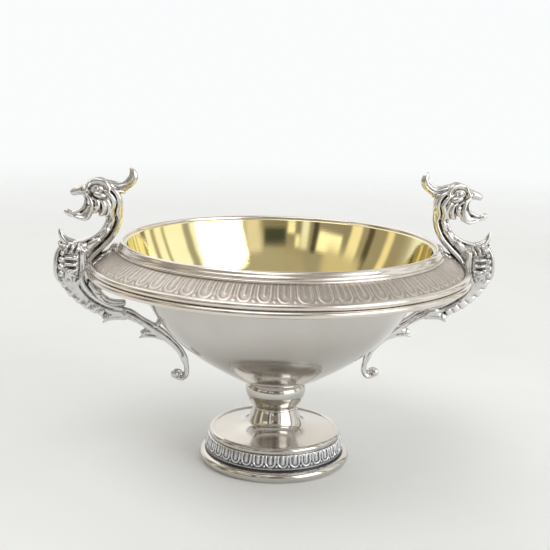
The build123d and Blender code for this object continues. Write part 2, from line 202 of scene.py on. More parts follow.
def relief_band(name, top, foot, motifs, style, relief, thickness, per_motif, rows, crown):
    """A slanted strip struck with the tongue ornament, closed at the back."""
    length = math.hypot(foot[0] - top[0], foot[1] - top[1])
    down = np.array([(foot[0] - top[0]) / length, (foot[1] - top[1]) / length])
    out = np.array([-down[1], down[0]])
    columns = motifs * per_motif
    turn = np.arange(columns) * 2 * np.pi / columns
    along = np.linspace(0, length, rows)
    radius = top[0] + down[0] * along
    pitch = 2 * np.pi * radius / motifs
    share = ((np.arange(columns) % per_motif) / per_motif + 0.5) % 1 - 0.5
    a = share[None] * pitch[:, None]
    v = np.broadcast_to(along[:, None], a.shape)
    height = box_blur(tongue_relief(a, v, pitch[:, None], length, style), 1, 1)
    hollow = box_blur(height, max(rows // 16, 1), per_motif // 8) - height
    cavity = np.clip(style["ground"] - height + 1.2 * hollow, 0, 1)
    cavity *= (smooth_step(along / 0.5) * smooth_step((length - along) / 0.4))[:, None]
    height *= relief
    bow = crown * np.sin(np.pi * along / length)
    lift = height + bow[:, None]
    r = radius[:, None] + lift * out[0]
    z = (top[1] + down[1] * along)[:, None] + lift * out[1]
    middle = ((top[0] + foot[0]) / 2, (top[1] + foot[1]) / 2)
    back = np.array([foot, middle, top]) - out * thickness
    r = np.vstack([r, np.broadcast_to(back[:, :1], (3, columns))])
    z = np.vstack([z, np.broadcast_to(back[:, 1:], (3, columns))])
    cavity = np.vstack([cavity, np.zeros((3, columns))])
    points = np.stack([r * np.cos(turn), r * np.sin(turn), z], 2).reshape(-1, 3)
    quads = ring_quads(rows + 3, columns)[:, [0, 3, 2, 1]]
    return mesh_piece(name, points, quads, cavity=cavity.ravel())


# ---- materials ----
class Nodes:
    """Short ways to make and join shader nodes."""

    def __init__(self, tree):
        self.tree = tree

    def new(self, kind, inputs=(), **settings):
        node = self.tree.nodes.new(kind)
        for key, value in settings.items():
            setattr(node, key, value)
        for key, value in dict(inputs).items():
            if isinstance(value, bpy.types.NodeSocket):
                self.tree.links.new(value, node.inputs[key])
            else:
                node.inputs[key].default_value = value
        return node

    def math(self, operation, a, b=0.0):
        return self.new("ShaderNodeMath", {0: a, 1: b}, operation=operation).outputs[0]

    def noise(self, vector, scale, detail=3.0, rough=0.55):
        return self.new("ShaderNodeTexNoise", {"Vector": vector, "Scale": scale, "Detail": detail,
                                               "Roughness": rough}).outputs["Fac"]

    def span(self, value, low, high, to_low=0.0, to_high=1.0, **settings):
        return self.new("ShaderNodeMapRange", {"Value": value, "From Min": low, "From Max": high,
                                               "To Min": to_low, "To Max": to_high}, **settings).outputs[0]

    def mix(self, factor, a, b):
        node = self.new("ShaderNodeMix", data_type="RGBA")
        for socket, value in ((node.inputs[0], factor), (node.inputs[6], a), (node.inputs[7], b)):
            if isinstance(value, bpy.types.NodeSocket):
                self.tree.links.new(value, socket)
            else:
                socket.default_value = value
        return node.outputs[2]


def metal(name, bright, dull, rough_low, rough_high, spin=0.0, grain=0.0, dark=None):
    """Silver or gilding: drifting tone, worn gloss, lathe lines, and a dark oxide in the recesses."""
    material = bpy.data.materials.new(name)
    material.use_nodes = True
    n = Nodes(material.node_tree)
    shader = material.node_tree.nodes["Principled BSDF"]
    shader.inputs["Metallic"].default_value = 1.0
    place = n.new("ShaderNodeTexCoord").outputs["Object"]
    clouds = n.noise(place, 38.0, 4.0)
    fine = n.noise(place, 420.0)
    tone = n.span(clouds, 0.35, 0.7)
    colour = n.mix(tone, bright, dull)
    smudge = n.math("MULTIPLY", n.span(clouds, 0.4, 0.68), n.span(fine, 0.3, 0.7, 0.5, 1.0))
    rough = n.span(smudge, 0.0, 1.0, rough_low, rough_high)
    xyz = n.new("ShaderNodeSeparateXYZ", {0: place})
    outwards = n.new("ShaderNodeCombineXYZ", {0: xyz.outputs[0], 1: xyz.outputs[1]}).outputs[0]
    radius = n.new("ShaderNodeVectorMath", {0: outwards}, operation="LENGTH").outputs["Value"]
    height = None
    if spin:
        rings = n.new("ShaderNodeCombineXYZ", {0: radius, 2: xyz.outputs[2]}).outputs[0]
        height = n.math("MULTIPLY", n.noise(rings, 2600.0, 2.0), spin)
    if grain:
        pitted = n.math("MULTIPLY", n.noise(place, 1500.0, 3.0, 0.6), grain)
        height = pitted if height is None else n.math("ADD", height, pitted)
    if dark:
        depth = n.new("ShaderNodeAttribute", attribute_name="cavity").outputs["Fac"]
        patchy = n.math("ADD", depth, n.span(n.noise(place, 900.0), 0.3, 0.7, -0.16, 0.16))
        oxide = n.span(patchy, 0.12, 0.8)
        colour = n.mix(oxide, colour, dark)
        rough = n.math("ADD", rough, n.math("MULTIPLY", oxide, 0.28))
    n.tree.links.new(colour, shader.inputs["Base Color"])
    n.tree.links.new(rough, shader.inputs["Roughness"])
    if height is not None:
        bump = n.new("ShaderNodeBump", {"Strength": 0.25, "Distance": 0.0001, "Height": height})
        n.tree.links.new(bump.outputs[0], shader.inputs["Normal"])
    return material


SILVER_BRIGHT = (0.65, 0.625, 0.595, 1)
SILVER_DULL = (0.58, 0.555, 0.52, 1)
polished = metal("polished_silver", SILVER_BRIGHT, SILVER_DULL, 0.09, 0.18, spin=0.35, grain=0.15)
satin = metal("rim_silver", (0.80, 0.755, 0.71, 1), (0.70, 0.65, 0.60, 1), 0.14, 0.24, spin=0.2, grain=0.3)
struck = metal("struck_silver", (0.67, 0.625, 0.585, 1), (0.58, 0.54, 0.50, 1), 0.28, 0.38, grain=0.5,
               dark=(0.38, 0.33, 0.29, 1))
oxidised = metal("oxidised_silver", (0.82, 0.825, 0.84, 1), (0.72, 0.725, 0.74, 1), 0.2, 0.3, grain=0.5,
                 dark=(0.09, 0.1, 0.125, 1))
groove = metal("groove_silver", (0.14, 0.145, 0.155, 1), (0.08, 0.082, 0.09, 1), 0.3, 0.45, grain=0.6)
cast = metal("cast_silver", (0.78, 0.775, 0.765, 1), (0.60, 0.59, 0.58, 1), 0.2, 0.3, grain=0.8,
             dark=(0.045, 0.042, 0.04, 1))
gilt = metal("gilding", (0.96, 0.87, 0.50, 1), (0.90, 0.78, 0.38, 1), 0.05, 0.1, spin=0.3, grain=0.1)


# ---- turned body ----
def raised(points, height):
    """Points of a section, given from a height upwards."""
    return [(radius, height + z) for radius, z in points]


def extent(node):
    """Outer radius, lowest and highest height of a turned CAD node, in mm."""
    low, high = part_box(node)
    return high[0] / MM, low[2] / MM, high[2] / MM


_, bowl_base, bowl_top = extent("bowl_shell")
SHEET, GILDING = 1.0, 0.2     # mm thick
WALL_STEP = 0.4               # mm between points along the wall
BOWL_OUTSIDE = [(0, 0), (9.9, 1.3), (19, 5.7), (29, 12.1), (38, 19.8), (45.5, 30.2), (50.8, 42.6)]
# the gilt face stands steeper towards the mouth, where the wall grows thinner
BOWL_FACE = [(0, 1.2), (9.55, 2.45), (18.4, 6.75), (28.3, 13.05), (37.1, 20.6), (44.85, 30.4), (47.0, 34.7),
             (48.85, 38.8), (50.4, 42.8), (51.75, 46.8)]
outside = spline(raised(BOWL_OUTSIDE, bowl_base) + [(54.6, bowl_top)], WALL_STEP)
face = spline(raised(BOWL_FACE, bowl_base) + [(52.95, bowl_top)], WALL_STEP)
inside = [offset(face, -GILDING * share) for share in (1.1, 1.0, 0.0)]
for line, thick in zip(inside, (SHEET - 0.02, SHEET, SHEET + GILDING)):
    line[0] = (0, bowl_base + thick)
dress(turned("fine_bowl_shell", np.vstack([outside, inside[0][:0:-1], inside[0][:1]])),
      "polished_silver", polished, "bowl_shell")
dress(turned("fine_gilt_lining", np.vstack([inside[1], inside[2][:0:-1], inside[2][:1]])), "gilt", gilt,
      "gilt_lining")

knop_r, _, knop_high = extent("stem_knop")
waist_r, waist_low, waist_high = extent("waist_wire")
waist_z = (waist_low + waist_high) / 2
knop = spline(raised([(7.6, 0.1), (8.6, 1.3), (9.8, 3.4), (knop_r, 6.0), (10.5, 8.2)], waist_z)
              + [(9.5, knop_high)], 0.15)
dress(turned("fine_stem_knop", np.vstack([knop, knop[::-8] - (1.2, 0)])), "polished_silver", polished,
      "stem_knop")
wire = (waist_high - waist_low) / 2
dress(turned("fine_waist_wire", arc((waist_r - wire, waist_z), wire, -180, 165)),
      "polished_silver", polished, "waist_wire")

edge_r, edge_low, edge_high = extent("foot_edge_wire")
wire = (edge_high - edge_low) / 2
edge_roll = np.vstack([arc((edge_r - wire, edge_low + wire), wire, -110, 125, 48),
                       [(edge_r - 1.8 * wire, edge_high - 0.55 * wire),
                        (edge_r - 1.8 * wire, edge_low + 0.3 * wire)]])
dress(turned("fine_foot_edge", edge_roll), "polished_silver", polished, "foot_edge_wire")

disc_z = edge_high - 0.35
trumpet = raised([(edge_r - 2.1, -0.1), (19.6, 0.12), (16.2, 0.5), (12.4, 1.35), (10.0, 2.75), (8.7, 5.0),
                  (8.0, 7.0)], disc_z)
trumpet = spline(trumpet + [(7.6, waist_z - 0.1)], 0.2)
dress(turned("fine_foot_shell", np.vstack([trumpet, offset(trumpet, SHEET)[::-4]])),
      "polished_silver", polished, "foot_shell")

BASE_WIRE = 1.85              # mm, radius
base_r, _, base_high = extent("foot_base_ring")
base_centre = (base_r - BASE_WIRE, base_high - BASE_WIRE)
flat = math.degrees(math.asin(-base_centre[1] / BASE_WIRE))
dress(turned("fine_foot_base", arc(base_centre, BASE_WIRE, flat, 180 - flat, 64)),
      "polished_silver", polished, "foot_base_ring")

BAND_HEM = 0.7                # mm by which the ornamental strip hangs over the plinth
plinth_r, _, plinth_high = extent("foot_plinth")
cove_top = plinth_high - BAND_HEM
COVE_FOOT = 2.5               # mm above the floor
cove = spline([(plinth_r + 0.35, COVE_FOOT), (plinth_r, 3.1), (plinth_r - 0.1, 3.6),
               (plinth_r + 0.1, cove_top)], 0.12)
cove_back = [(plinth_r - 1.3, cove_top), (plinth_r - 1.3, COVE_FOOT)]
dress(turned("fine_foot_groove", np.vstack([cove, cove_back])), "oxidised_silver", groove, "foot_plinth")

FOOT_MOTIFS = 36
FOOT_STYLE = {"half": 0.36, "tip": 0.8, "point": 1.0, "wire": 0.085, "body": 0.25, "rib": 0.9, "dot": 0.1,
              "ground": 0.62}
band_r, band_low, band_high = extent("foot_band")
dress(relief_band("fine_foot_band", (band_r - 0.85, band_high), (band_r + 0.06, band_low - BAND_HEM),
                  FOOT_MOTIFS, FOOT_STYLE, relief=0.34, thickness=1.0, per_motif=56, rows=40, crown=0.1),
      "oxidised_silver", oxidised, "foot_band", "foot_band_tongues", "foot_band_ribs", "foot_band_dots")

lip_r, lip_low, lip_high = extent("lip_moulding")
lip = spline([(lip_r, lip_low), (lip_r - 0.02, lip_low + 0.45), (lip_r - 0.5, lip_low + 1.25),
              (lip_r - 1.0, lip_high - 0.35), (lip_r - 1.6, lip_high), (lip_r - 2.2, lip_high - 0.2),
              (lip_r - 2.5, lip_low + 1.2)], 0.1)
lip_back = [(lip_r - 1.0, lip_low + 1.2), (lip_r - 1.0, lip_low)]
dress(turned("fine_lip_moulding", np.vstack([lip, lip_back]), RIM_SEGMENTS),
      "polished_silver", satin, "lip_moulding")
wire_r, wire_low, wire_high = extent("lip_wire")
wire = (wire_high - wire_low) / 2
dress(turned("fine_lip_wire", arc((wire_r - wire, wire_low + wire), wire, -180, 165), RIM_SEGMENTS),
      "polished_silver", satin, "lip_wire")

RIM_MOTIFS = 64
RIM_STYLE = {"half": 0.33, "tip": 0.88, "point": 1.3, "wire": 0.06, "body": 0.12, "rib": 0.75, "dot": 0.09,
             "ground": 0.42}
border_r, border_low, border_high = extent("border_band")
dress(relief_band("fine_border", (border_r - 7.3, border_high), (border_r, border_low + 0.85), RIM_MOTIFS,
                  RIM_STYLE, relief=0.12, thickness=1.0, per_motif=36, rows=44, crown=0.2),
      "oxidised_silver", struck, "border_band", "border_tongues", "border_ribs", "border_dots")

GIRDLE_WIRE = 1.1             # mm, radius
for node in ("upper_girdle_wire", "lower_girdle_wire"):
    girdle_r, girdle_low, girdle_high = extent(node)
    girdle_z = (girdle_low + girdle_high) / 2 if node == "upper_girdle_wire" else girdle_low + GIRDLE_WIRE
    ring = arc((girdle_r - GIRDLE_WIRE, girdle_z), GIRDLE_WIRE, -180, 170, 48)
    dress(turned("fine_" + node, ring, RIM_SEGMENTS), "polished_silver", satin, node)

collar_r, collar_low, collar_high = extent("under_collar")
collar = [(50.6, collar_high - 0.85), (57.0, collar_high - 1.1), (collar_r, collar_low),
          (collar_r, collar_low + 0.8), (57.0, collar_high - 0.25), (50.6, collar_high - 0.05)]
dress(turned("fine_under_collar", collar), "polished_silver", satin, "under_collar")


# ---- sculpting kit ----
def smooth_path(points, spacing):
    """Catmull-Rom through rows of numbers, sampled about every spacing in their first two columns."""
    p = np.array(points, float)
    if len(p) == 1:
        return p
    ends = np.vstack([2 * p[0] - p[1], p, 2 * p[-1] - p[-2]])
    out = []
    for a, b, c, d in zip(ends, ends[1:], ends[2:], ends[3:]):
        steps = max(2, int(np.linalg.norm((c - b)[:2]) / spacing) + 1)
        t = np.linspace(0, 1, steps, endpoint=False)[:, None]
        curve = 2 * b + (c - a) * t + (2 * a - 5 * b + 4 * c - d) * t**2 + (3 * b - a - 3 * c + d) * t**3
        out.append(0.5 * curve)
    out.append(p[-1:])
    return np.vstack(out)


def soft_min(a, b, k):
    h = np.maximum(k - np.abs(a - b), 0) / k
    return np.minimum(a, b) - h * h * k / 4


class Clay:
    """A solid as signed distances on a lattice, half of it: y runs from the middle plane outwards."""

    def __init__(self, low, high):
        self.first = np.array([int(low[0] / VOXEL), 0, int(low[2] / VOXEL)])
        last = np.array([int(v / VOXEL) + 1 for v in high])
        self.field = np.full(tuple(last - self.first + 1), REACH, np.float32)

    def window(self, low, high):
        a = np.clip(np.floor(np.array(low) / VOXEL).astype(int) - self.first, 0, self.field.shape)
        b = np.clip(np.ceil(np.array(high) / VOXEL).astype(int) + 1 - self.first, 0, self.field.shape)
        slices = tuple(slice(i, max(i, j)) for i, j in zip(a, b))
        axes = [(np.arange(s.start, s.stop) + f) * VOXEL for s, f in zip(slices, self.first)]
        return slices, np.meshgrid(*axes, indexing="ij", sparse=True)

    def level(self, x, z):
        """How far out the surface is at (x, z)."""
        i, k = (int(round(v / VOXEL)) - self.first[axis] for v, axis in ((x, 0), (z, 2)))
        i = min(max(i, 0), self.field.shape[0] - 1)
        k = min(max(k, 0), self.field.shape[2] - 1)
        column = self.field[i, :, k]
        inside = np.nonzero(column < 0)[0]
        if len(inside) == 0:
            return 0.0
        j = inside[-1]
        if j + 1 < len(column):
            j = j + column[j] / (column[j] - column[j + 1])
        return j * VOXEL

    def swept(self, path, flat):
        """Distances to a tube along sampled rows (x, y, z, radius), flat times as thick along y."""
        stretch = np.array([1, max(flat, 1), 1])
        pad = (REACH + path[:, 3].max()) * stretch
        slices, _ = self.window(path[:, :3].min(0) - pad, path[:, :3].max(0) + pad)
        patch = np.full(tuple(s.stop - s.start for s in slices), REACH, np.float32)
        rows = path if len(path) > 1 else np.vstack([path, path + [0.001, 0, 0, 0]])
        for a, b in zip(rows, rows[1:]):
            grow = (REACH + max(a[3], b[3])) * stretch
            part, (x, y, z) = self.window(np.minimum(a, b)[:3] - grow, np.maximum(a, b)[:3] + grow)
            run = (b[:3] - a[:3]) / (1, flat, 1)
            dx, dy, dz = x - a[0], (y - a[1]) / flat, z - a[2]
            t = np.clip((dx * run[0] + dy * run[1] + dz * run[2]) / max(float(run @ run), 1e-9), 0, 1)
            gap = np.sqrt((dx - t * run[0]) ** 2 + (dy - t * run[1]) ** 2 + (dz - t * run[2]) ** 2)
            gap = (gap - (a[3] + t * (b[3] - a[3]))) * min(1, flat)
            local = tuple(slice(s.start - o.start, s.stop - o.start) for s, o in zip(part, slices))
            patch[local] = np.minimum(patch[local], gap)
        return slices, patch

    def merge(self, slices, patch, blend, carve=False):
        if carve:
            self.field[slices] = -soft_min(-self.field[slices], patch, blend)
        else:
            self.field[slices] = soft_min(self.field[slices], patch, blend)

    def tube(self, points, flat=1.0, blend=0.4, carve=False):
        """Adds or carves a tube through points (x, z, radius) or (x, z, radius, y)."""
        rows = [(p[0], p[1], p[3] if len(p) > 3 else 0.0, p[2]) for p in points]
        path = smooth_path(rows, max(0.25, min(r[3] for r in rows) * 0.5))[:, [0, 2, 1, 3]]
        path[:, 3] = np.maximum(path[:, 3], 0.03)
        self.merge(*self.swept(path, flat), blend, carve)

    def on_side(self, points, radius, sink, blend, carve=False):
        """A ridge or groove that follows the side through points (x, z) or (x, z, radius)."""
        rows = smooth_path([(p[0], p[1], p[2] if len(p) > 2 else radius) for p in points], 0.2)
        level = np.array([self.level(x, z) for x, z in rows[:, :2]])
        if len(level) > 4:
            level = np.convolve(np.pad(level, 3, mode="edge"), np.ones(7) / 7, "valid")
        path = np.stack([rows[:, 0], level - sink, rows[:, 1], np.maximum(rows[:, 2], 0.04)], 1)
        self.merge(*self.swept(path, 1.0), blend, carve)

    def groove(self, points, radius=0.3, blend=0.15, sink=0.0):
        self.on_side(points, radius, sink, blend, carve=True)

    def ridge(self, points, radius=0.3, blend=0.3, sink=0.0):
        self.on_side(points, radius, sink, blend)

    def bead(self, x, z, radius, sink, blend=0.15):
        self.on_side([(x, z)], radius, sink, blend)

    def blob(self, x, z, rx, rz, ry, turn=0.0, y=0.0, blend=0.5, carve=False):
        """Adds an ellipsoid turned by turn degrees in the handle's plane."""
        grow = np.array([max(rx, rz), ry, max(rx, rz)]) + REACH
        slices, (gx, gy, gz) = self.window(np.array([x, y, z]) - grow, np.array([x, y, z]) + grow)
        c, s = math.cos(math.radians(turn)), math.sin(math.radians(turn))
        u, v, w = (gx - x) * c + (gz - z) * s, (gz - z) * c - (gx - x) * s, gy - y
        n = np.sqrt((u / rx) ** 2 + (v / rz) ** 2 + (w / ry) ** 2)
        g = np.sqrt((u / rx**2) ** 2 + (v / rz**2) ** 2 + (w / ry**2) ** 2)
        patch = np.clip(n * (n - 1) / np.maximum(g, 1e-6), -3 * REACH, REACH).astype(np.float32)
        self.merge(slices, patch, blend, carve)

    def slab(self, x, z, half_long, half_deep, half_thick, turn=0.0, lean=0.0, edge=0.35, blend=0.15):
        """Adds a rounded block turned in the handle's plane; lean makes it thicker towards its end."""
        across = half_long + half_deep + REACH
        grow = np.array([across, half_thick + abs(lean) * half_long + REACH, across])
        slices, (gx, gy, gz) = self.window(np.array([x, 0, z]) - grow, np.array([x, 0, z]) + grow)
        c, s = math.cos(math.radians(turn)), math.sin(math.radians(turn))
        u, v = (gx - x) * c + (gz - z) * s, (gz - z) * c - (gx - x) * s
        over = [np.abs(u) - half_long + edge, np.abs(v) - half_deep + edge, gy - half_thick - lean * u + edge]
        outside = np.sqrt(sum(np.maximum(o, 0) ** 2 for o in over))
        inside = np.minimum(np.maximum(np.maximum(over[0], over[1]), over[2]), 0)
        patch = np.clip(outside + inside - edge, -3 * REACH, REACH).astype(np.float32)
        self.merge(slices, patch, blend)


def whole(half):
    """Both sides of a half lattice."""
    return np.concatenate([half[:, :0:-1], half], axis=1)


def blurred(a, width):
    """Box blur of a half lattice along every axis, twice."""
    for _ in range(2):
        for axis in range(3):
            pad = [(width, width) if i == axis else (0, 0) for i in range(3)]
            padded = np.pad(a, pad, mode="edge")
            if axis == 1:
                padded[:, :width] = a[:, width:0:-1]
            zero = np.zeros_like(np.take(padded, [0], axis))
            total = np.cumsum(np.concatenate([zero, padded], axis), axis=axis, dtype=np.float64)
            n, w = a.shape[axis], 2 * width + 1
            high = np.take(total, range(w, w + n), axis=axis)
            low = np.take(total, range(0, n), axis=axis)
            a = ((high - low) / w).astype(np.float32)
    return a


# ---- griffin handle: the right one, each section with its own maker ----
def neck(c):
    c.tube([(56.6, 89.5, 2.0), (56.8, 87.0, 2.0), (57.6, 84.2, 2.1), (59.4, 81.2, 2.2), (62.6, 77.8, 2.4),
            (66.0, 75.2, 2.9), (69.0, 73.0, 3.4)], flat=0.75)
    # smooth front edge
    c.tube([(59.0, 87.6, 0.6), (59.6, 84.9, 0.65), (61.2, 82.2, 0.65), (63.7, 80.2, 0.65), (66.6, 78.9, 0.7),
            (69.4, 78.2, 0.7)], flat=1.9, blend=0.2)
    # three drop-shaped scales
    for x, z, long, short, turn, out in ((57.9, 85.2, 2.3, 1.25, -74, 1.35),
                                         (60.3, 81.4, 2.5, 1.35, -52, 1.45),
                                         (63.9, 78.0, 2.7, 1.5, -38, 1.75)):
        c.blob(x, z, long, short, 0.95, turn, y=out, blend=0.1)
    # broad strap down the back
    c.tube([(54.9, 90.0, 0.9), (55.1, 87.0, 1.0), (56.0, 83.6, 1.1), (58.0, 80.0, 1.15), (61.1, 76.7, 1.2),
            (64.0, 73.8, 1.2), (66.0, 70.8, 1.2), (66.7, 68.5, 1.0)], flat=1.9, blend=0.2)
    c.groove([(56.4, 87.4), (56.8, 84.6), (58.4, 81.2), (61.2, 78.0), (64.0, 75.3), (66.6, 72.4)], 0.38)
    c.groove([(58.8, 87.0), (59.2, 84.4), (60.9, 81.6), (63.4, 79.7), (66.4, 78.2)], 0.26)


def head(c):
    c.blob(60.4, 93.4, 5.0, 6.0, 2.7)
    c.blob(58.0, 90.4, 3.6, 4.5, 2.4)
    c.blob(62.4, 96.9, 4.3, 2.8, 2.6, turn=-12)
    # upper beak, stout, with a blunt tip and a curled nostril
    c.tube([(63.2, 96.6, 2.5), (66.0, 96.2, 2.15), (68.0, 95.9, 1.7), (69.6, 95.5, 1.5), (70.5, 95.1, 1.25)],
           flat=0.95)
    c.tube([(65.6, 94.9, 0.9), (67.6, 94.8, 0.6), (69.6, 94.8, 0.5), (71.0, 94.6, 0.45)], flat=1.7, blend=0.2)
    c.groove([(70.0, 94.8), (69.0, 95.0), (67.4, 95.0)], 0.2)
    c.bead(66.7, 96.0, 1.05, sink=0.35)
    c.groove([(67.9, 96.7), (67.7, 95.7), (66.7, 94.9)], 0.26)
    c.groove([(66.5, 96.5), (66.9, 96.1)], 0.3)
    # deep hollow under the cheek, then curled locks hanging in it
    c.blob(61.4, 90.7, 3.3, 3.4, 1.5, y=3.1, blend=0.3, carve=True)
    c.tube([(64.0, 93.6, 0.5, 2.0), (62.6, 92.2, 0.75, 1.9), (62.4, 90.4, 0.85, 1.9), (63.2, 88.9, 0.7, 1.8),
            (64.0, 88.4, 0.4, 1.5)], blend=0.12)
    c.tube([(62.0, 93.4, 0.5, 2.1), (60.6, 92.0, 0.8, 2.1), (60.2, 90.0, 0.9, 2.0), (60.8, 88.2, 0.8, 1.8),
            (61.9, 87.5, 0.45, 1.4)], blend=0.12)
    c.tube([(60.0, 93.2, 0.5, 2.2), (58.8, 91.6, 0.75, 2.2), (58.4, 89.6, 0.8, 2.0), (58.9, 88.0, 0.65, 1.8),
            (59.6, 87.3, 0.4, 1.4)], blend=0.12)
    c.tube([(63.3, 91.6, 0.35, 2.3), (62.9, 90.7, 0.42, 2.4), (63.5, 90.2, 0.3, 2.2)], blend=0.1)
    # smooth brow lobe arching over a ringed eye, and the cheek below it
    c.ridge([(65.9, 96.9, 0.5), (65.0, 98.6, 0.75), (62.6, 99.3, 0.9), (60.2, 98.7, 0.95), (58.9, 97.0, 0.85),
             (58.9, 95.3, 0.6)], sink=-0.05, blend=0.12)
    c.groove([(65.2, 96.3, 0.25), (64.5, 97.7, 0.36), (62.6, 98.2, 0.34), (61.0, 97.6, 0.32),
              (60.3, 96.4, 0.3), (60.6, 95.5, 0.2)])
    c.bead(62.9, 96.5, 0.75, sink=0.4, blend=0.08)
    c.ridge([(64.6, 96.7), (63.7, 97.5), (62.4, 97.5), (61.4, 96.7), (61.9, 95.8), (62.9, 95.4), (64.0, 95.8),
             (64.6, 96.6)], 0.24, sink=-0.02, blend=0.06)
    c.groove([(63.1, 96.55), (63.2, 96.5)], 0.3)
    c.blob(61.7, 94.5, 2.4, 1.15, 1.2, turn=16, y=2.6, blend=0.12)
    c.groove([(59.5, 93.6), (61.2, 93.1), (63.2, 93.6), (64.5, 94.7)], 0.34)
    c.groove([(65.3, 96.6), (65.0, 95.4), (64.6, 94.2)], 0.36)
    # thick lip round the mouth
    c.tube([(67.0, 94.9, 0.5, 1.6), (65.4, 93.6, 0.65, 2.2), (64.6, 91.8, 0.72, 2.5), (64.6, 89.8, 0.72, 2.5),
            (65.1, 87.9, 0.72, 2.3)], blend=0.15)
    # two long wavy strands of the mane
    c.tube([(60.3, 96.0, 0.35, 2.5), (58.3, 94.6, 0.75, 2.5), (57.1, 92.6, 0.85, 2.3),
            (57.2, 90.6, 0.85, 2.1), (57.9, 88.8, 0.8, 1.9), (57.5, 87.2, 0.6, 1.8), (56.9, 86.2, 0.3, 1.7)],
            blend=0.1)
    c.tube([(58.9, 97.3, 0.35, 2.2), (56.6, 95.7, 0.75, 2.1), (55.4, 93.6, 0.85, 1.9),
            (55.2, 91.4, 0.85, 1.8), (55.8, 89.4, 0.8, 1.6), (55.6, 87.6, 0.6, 1.5), (55.0, 86.4, 0.3, 1.4)],
            blend=0.1)
    c.groove([(57.9, 95.6), (56.4, 93.8), (56.1, 91.8), (56.5, 89.8), (56.6, 87.8)], 0.26, sink=0.1)
    c.tube([(55.6, 94.8, 0.6), (54.9, 92.8, 0.75), (54.8, 90.6, 0.75), (55.2, 88.6, 0.7), (55.0, 87.0, 0.4)],
           flat=1.7, blend=0.2)


def lower_jaw(c):
    c.tube([(65.4, 89.8, 1.2), (66.2, 88.0, 1.55), (67.5, 87.1, 1.35), (69.3, 87.2, 1.1), (71.0, 87.6, 1.1),
            (72.2, 88.1, 1.15), (72.8, 88.5, 1.05)], flat=1.1)
    c.tube([(66.9, 94.0, 0.5), (66.5, 92.4, 0.6), (66.8, 90.8, 0.7), (67.8, 89.5, 0.65), (69.4, 88.7, 0.55),
            (71.0, 88.4, 0.4)], flat=2.2, blend=0.2)
    c.tube([(65.8, 92.4, 0.5, 2.4), (65.7, 90.6, 0.6, 2.4), (66.1, 88.9, 0.6, 2.3), (67.2, 87.9, 0.5, 2.0),
            (68.4, 87.8, 0.3, 1.6)], carve=True, blend=0.12)
    c.tube([(64.6, 90.6, 0.6, 2.5), (64.9, 88.6, 0.72, 2.4), (65.6, 86.9, 0.72, 2.0), (67.0, 86.2, 0.7, 1.6),
            (68.8, 86.5, 0.6, 1.2), (70.4, 86.9, 0.5, 0.8)], blend=0.15)


def crest(c):
    c.tube([(61.4, 98.5, 1.2), (58.6, 98.0, 1.5), (56.0, 97.4, 1.5), (53.8, 97.6, 1.6), (51.9, 98.6, 1.75),
            (50.75, 100.1, 1.7), (50.6, 101.5, 1.35), (51.0, 102.6, 0.9), (51.6, 103.35, 0.4)], flat=0.8)
    c.tube([(58.0, 96.0, 0.9), (56.0, 95.9, 0.95), (54.4, 95.4, 0.65), (53.4, 95.1, 0.3)], flat=1.5,
           blend=0.15)
    c.tube([(55.4, 96.4, 0.8), (53.4, 96.2, 0.6), (52.2, 96.4, 0.3)], flat=1.4, blend=0.15)
    c.groove([(61.4, 99.2, 0.2), (58.4, 98.6, 0.32), (55.4, 98.1, 0.38), (53.2, 98.8, 0.4),
              (52.0, 100.1, 0.38), (51.6, 101.5, 0.25)])
    c.groove([(60.2, 97.6, 0.2), (57.4, 97.3, 0.3), (54.6, 96.9, 0.34), (52.6, 97.6, 0.34), (51.0, 99.0, 0.3),
              (50.4, 100.6, 0.2)])
    c.groove([(58.4, 96.6), (56.4, 96.5), (54.2, 96.0)], 0.24)


def breast(c):
    c.tube([(66.8, 75.2, 2.9), (69.4, 73.8, 4.0), (71.2, 71.2, 4.7), (71.6, 68.2, 4.7), (70.9, 65.4, 4.3)],
           flat=0.82)
    c.blob(70.6, 75.4, 4.2, 2.9, 2.8, turn=4)
    c.blob(73.4, 75.6, 2.0, 1.9, 2.2)
    # leaf collar above
    for root, middle, tip, r in (((68.2, 77.2), (69.2, 75.8), (70.0, 74.0), 0.65),
                                 ((70.3, 78.0), (70.9, 76.4), (71.4, 74.8), 0.65),
                                 ((72.2, 77.4), (73.0, 76.4), (73.9, 75.4), 0.6)):
        c.ridge([(*root, 0.25), (*middle, r), (*tip, 0.25)], sink=-0.05, blend=0.12)
    c.groove([(69.3, 77.8), (69.9, 76.2), (70.6, 74.7)], 0.32)
    c.groove([(71.6, 77.6), (72.1, 76.2), (72.7, 74.9)], 0.36)
    # smooth band down the inner side
    c.ridge([(67.2, 75.2), (67.2, 72.6), (67.3, 69.8), (67.8, 67.4), (68.8, 65.6)], 0.85, sink=0.3,
            blend=0.25)
    c.groove([(68.7, 75.0), (68.5, 72.4), (68.5, 69.6), (69.0, 67.0), (69.9, 65.2)], 0.4)
    # two bars between deep gaps
    for z in (73.0, 70.9):
        c.ridge([(69.6, z - 0.2, 0.4), (71.4, z, 0.62), (73.3, z + 0.1, 0.5)], sink=-0.05, blend=0.08)
    for z in (74.15, 71.95, 69.8):
        c.groove([(69.4, z - 0.1, 0.3), (71.4, z, 0.45), (73.5, z + 0.1, 0.35)])
    # leaf below the bars, its lobes spreading from one point
    x, z = 72.9, 68.9
    for end in ((69.2, 68.6), (69.4, 66.4), (71.0, 65.0), (73.0, 65.0)):
        middle = ((x + end[0]) / 2, (z + end[1]) / 2, 0.65)
        c.ridge([(x, z, 0.3), middle, (*end, 0.3)], sink=-0.05, blend=0.08)


def breast_strap(c):
    c.tube([(74.4, 77.0, 0.7), (75.7, 75.2, 0.9), (76.4, 72.8, 1.0), (76.6, 70.0, 1.05), (76.5, 67.2, 1.0),
            (75.6, 64.8, 0.8)], flat=2.35)


